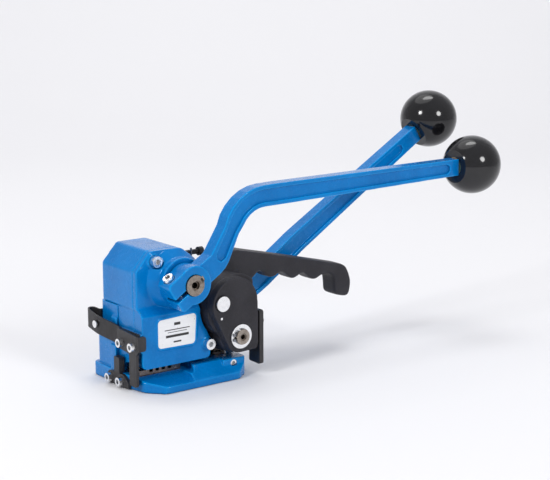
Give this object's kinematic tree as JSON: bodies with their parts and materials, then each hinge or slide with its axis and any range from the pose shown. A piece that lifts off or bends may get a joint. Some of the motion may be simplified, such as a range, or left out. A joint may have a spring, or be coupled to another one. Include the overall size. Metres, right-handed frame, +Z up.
{
  "type": "strapping tensioner",
  "caption": "Hand tool for steel strap: a ratchet feed wheel tightens the strap and a crimping head seals and cuts it, each worked by a lever with a ball knob.",
  "frame": {"origin": "centre of the base's underside, on the ground", "axes": "+X along the strap towards the lever knobs, +Y to the back, +Z up"},
  "size_m": [0.3673, 0.11, 0.205],
  "materials": {
    "blue_enamel": "glossy mid-blue enamel over castings",
    "black_casting": "matt black fine-textured powder paint over a casting",
    "black_oxide": "blackened steel, lightly oiled",
    "phenolic": "glossy black phenolic",
    "ground_steel": "hardened steel, turned and ground",
    "zinc_steel": "bright zinc-plated steel",
    "bronze": "sintered bronze",
    "spring_steel": "blued spring steel",
    "nameplate_silver": "satin silver plate, left blank",
    "tool_steel": "hardened tool steel, ground"
  },
  "bodies": {
    "body": {"base_frame": "blue_enamel", "main_housing": "blue_enamel", "front_cover": "blue_enamel", "nameplate": "nameplate_silver", "housing_bolts": "zinc_steel", "cover_screws": "zinc_steel", "cover_dowels": "ground_steel", "crank_bush_front": "bronze", "crank_bush_rear": "bronze", "gripper_plug": "tool_steel", "gripper_set_screw": "zinc_steel", "die_block": "tool_steel", "die_screws": "zinc_steel", "lower_guide_bracket": "black_oxide", "upper_guide_bracket": "black_oxide", "guide_spring_band": "black_oxide", "guide_rivet": "zinc_steel", "guide_screws": "zinc_steel", "rocker_pivot_pin": "zinc_steel", "pivot_lock_screw": "ground_steel", "rocker_spring": "spring_steel", "spring_anchor_screw": "black_oxide"},
    "sealing": {"sealing_lever": "blue_enamel", "sealing_knob": "phenolic", "sealing_knob_insert": "bronze", "clamp_screw": "zinc_steel", "crank_shaft": "ground_steel", "crank_key": "ground_steel", "crank_washer": "zinc_steel", "crank_circlip": "spring_steel"},
    "punch": {"punch_slide": "tool_steel", "punch_block": "tool_steel", "punch_pins": "ground_steel", "cutter_blade": "tool_steel", "cutter_screw": "zinc_steel"},
    "rocker": {"rocker_frame": "black_casting", "feed_bush_front": "bronze", "feed_bush_rear": "bronze", "strap_guide_plate": "black_oxide", "strap_guide_backing": "black_oxide", "strap_guide_screws": "black_oxide", "holding_pawl_pin": "ground_steel", "spring_peg": "zinc_steel", "holding_pawl_spring": "spring_steel"},
    "feed": {"feed_shaft": "ground_steel", "feed_wheel": "tool_steel", "feed_key": "ground_steel", "holding_ratchet": "tool_steel", "drive_ratchet": "tool_steel", "feed_washer": "zinc_steel", "feed_circlips": "spring_steel"},
    "tension": {"tension_lever": "blue_enamel", "tension_knob": "phenolic", "tension_knob_insert": "bronze", "drive_pawl_pin": "ground_steel", "hub_cover": "blue_enamel", "hub_cover_screws": "zinc_steel", "drive_pawl_spring": "spring_steel"},
    "drive_pawl_body": {"drive_pawl": "tool_steel"},
    "holding_pawl_body": {"holding_pawl": "tool_steel"}
  },
  "joints": [
    {"name": "sealing_swing", "type": "hinge", "parent": "body", "child": "sealing", "pos_m": [-0.011, -0.01, 0.083], "axis": [0, -1, 0], "range_deg": [0, 120]},
    {"name": "punch_press", "type": "slide", "parent": "body", "child": "punch", "axis": [0, 0, -1], "range_m": [0, 0.00624]},
    {"name": "rocker_tilt", "type": "hinge", "parent": "body", "child": "rocker", "pos_m": [0.018, -0.007, 0.0634], "axis": [0, -1, 0], "range_deg": [0, 18], "stiffness_Nm_per_rad": 2, "springref_deg": -34.38, "deforming": ["rocker_spring"]},
    {"name": "tension_pull", "type": "hinge", "parent": "rocker", "child": "tension", "pos_m": [0.0353, 0.018, 0.035], "axis": [0, -1, 0], "range_deg": [0, 65]},
    {"name": "feed_spin", "type": "hinge", "parent": "rocker", "child": "feed", "pos_m": [0.0353, -0.01, 0.035], "axis": [0, -1, 0], "range_deg": [0, 65]},
    {"name": "drive_pawl_lift", "type": "hinge", "parent": "tension", "child": "drive_pawl_body", "pos_m": [0.04555, 0.017, 0.05275], "axis": [0, 1, 0], "range_deg": [0, 12], "stiffness_Nm_per_rad": 0.05, "springref_deg": -28.65, "deforming": ["drive_pawl_spring"]},
    {"name": "holding_pawl_lift", "type": "hinge", "parent": "rocker", "child": "holding_pawl_body", "pos_m": [0.03174, -0.0235, 0.05519], "axis": [0, 1, 0], "range_deg": [0, 10], "stiffness_Nm_per_rad": 0.05, "springref_deg": -28.65, "deforming": ["holding_pawl_spring"]}
  ],
  "couplings": [
    {"joint": "punch_press", "follows": "sealing_swing", "m_per_rad": 0.002977},
    {"joint": "feed_spin", "follows": "tension_pull", "ratio": 1}
  ]
}
